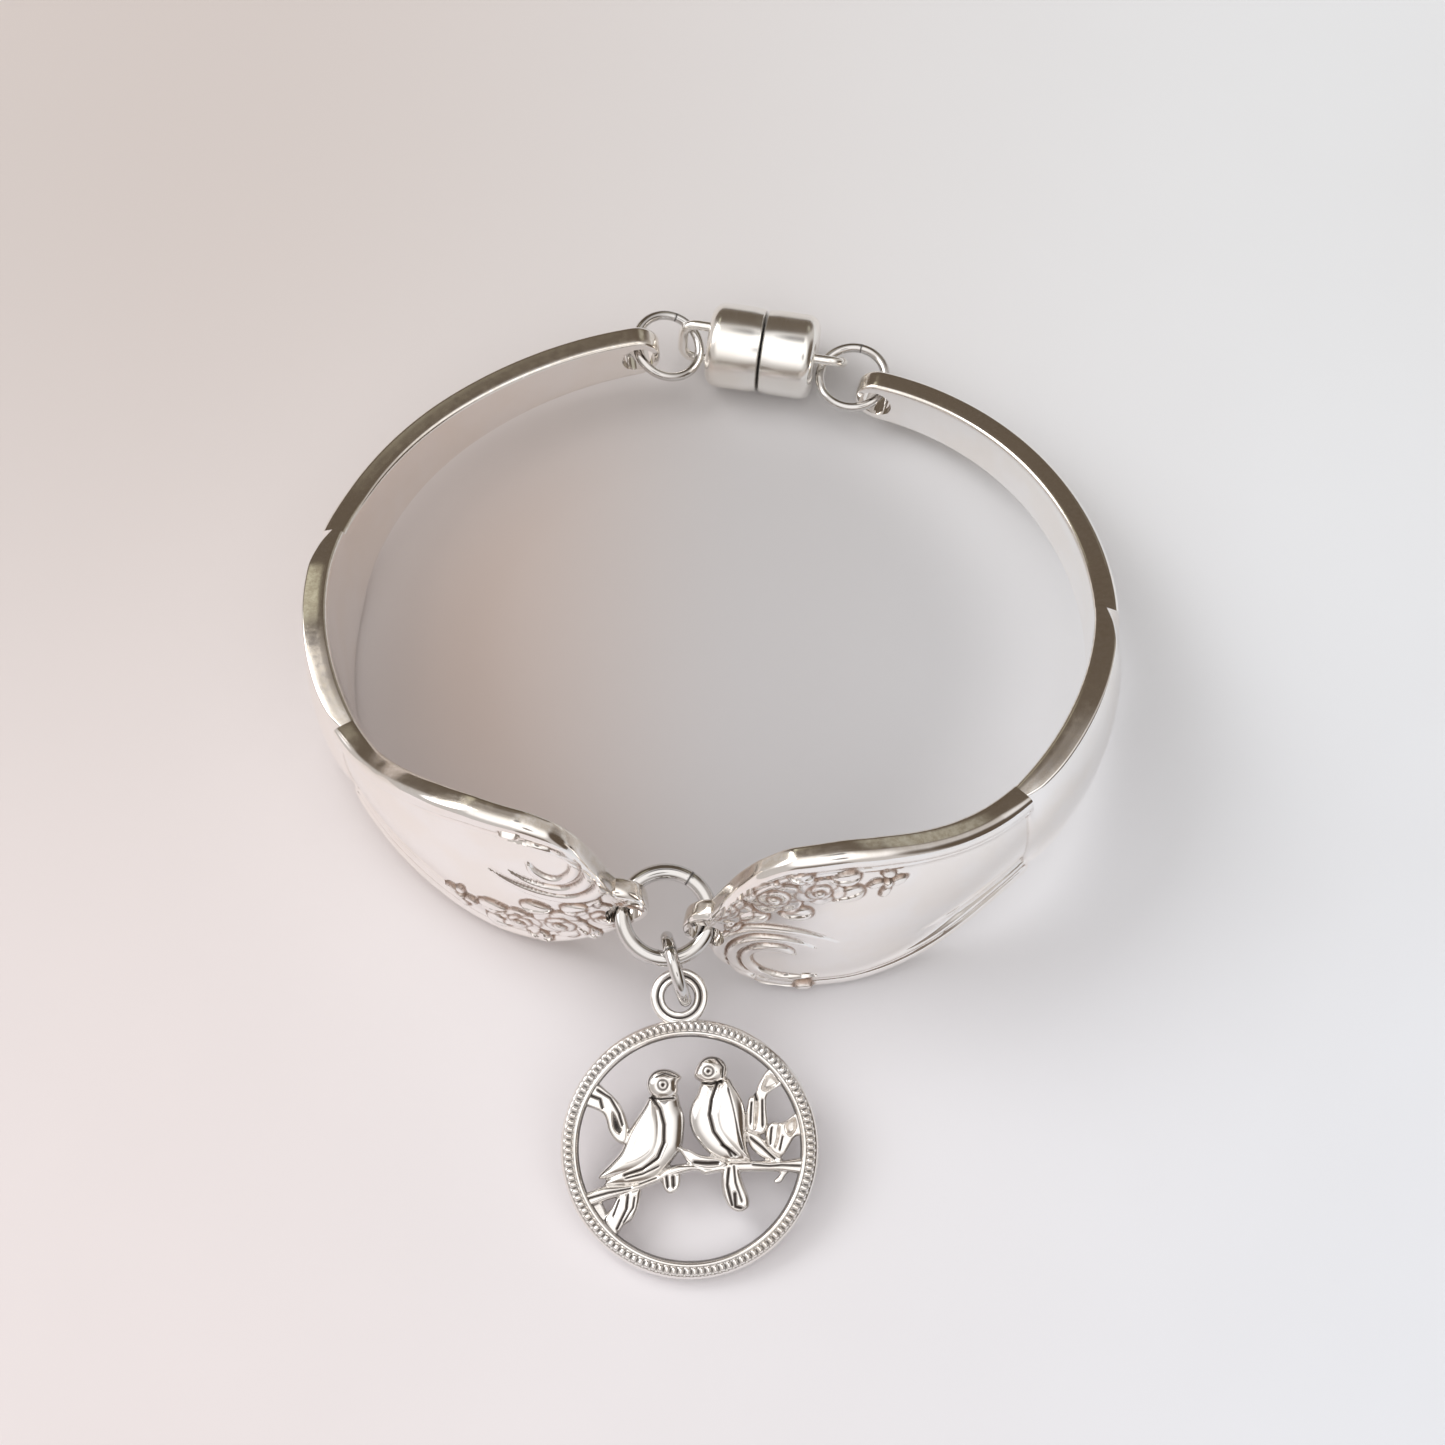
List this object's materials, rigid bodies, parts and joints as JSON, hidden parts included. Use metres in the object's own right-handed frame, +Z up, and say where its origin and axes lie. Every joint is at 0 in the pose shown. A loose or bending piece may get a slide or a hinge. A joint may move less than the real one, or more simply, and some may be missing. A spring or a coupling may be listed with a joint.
{
  "type": "spoon handle bracelet",
  "caption": "Bracelet of bent silver spoon handles with floral relief, joined by jump rings, with a round pierced bird charm and a magnetic barrel clasp.",
  "frame": {"origin": "middle of the whole bracelet's box in plan, on the surface it lies on", "axes": "+Z up along the wrist's axis, -Y towards the charm, +X towards the right handle"},
  "size_m": [0.0652, 0.0832, 0.0211],
  "materials": {
    "silver_plate": "polished silver plate, darkened in the recesses",
    "ring_steel": "bright polished",
    "antique_silver": "antique, dark recesses",
    "clasp_plate": "polished"
  },
  "bodies": {
    "root": {"left_handle": "silver_plate", "right_handle": "silver_plate", "front_ring": "ring_steel", "charm_ring": "ring_steel", "bird_charm": "antique_silver", "back_ring_left": "ring_steel", "back_ring_right": "ring_steel", "clasp_left": "clasp_plate", "clasp_right": "clasp_plate"}
  },
  "joints": []
}
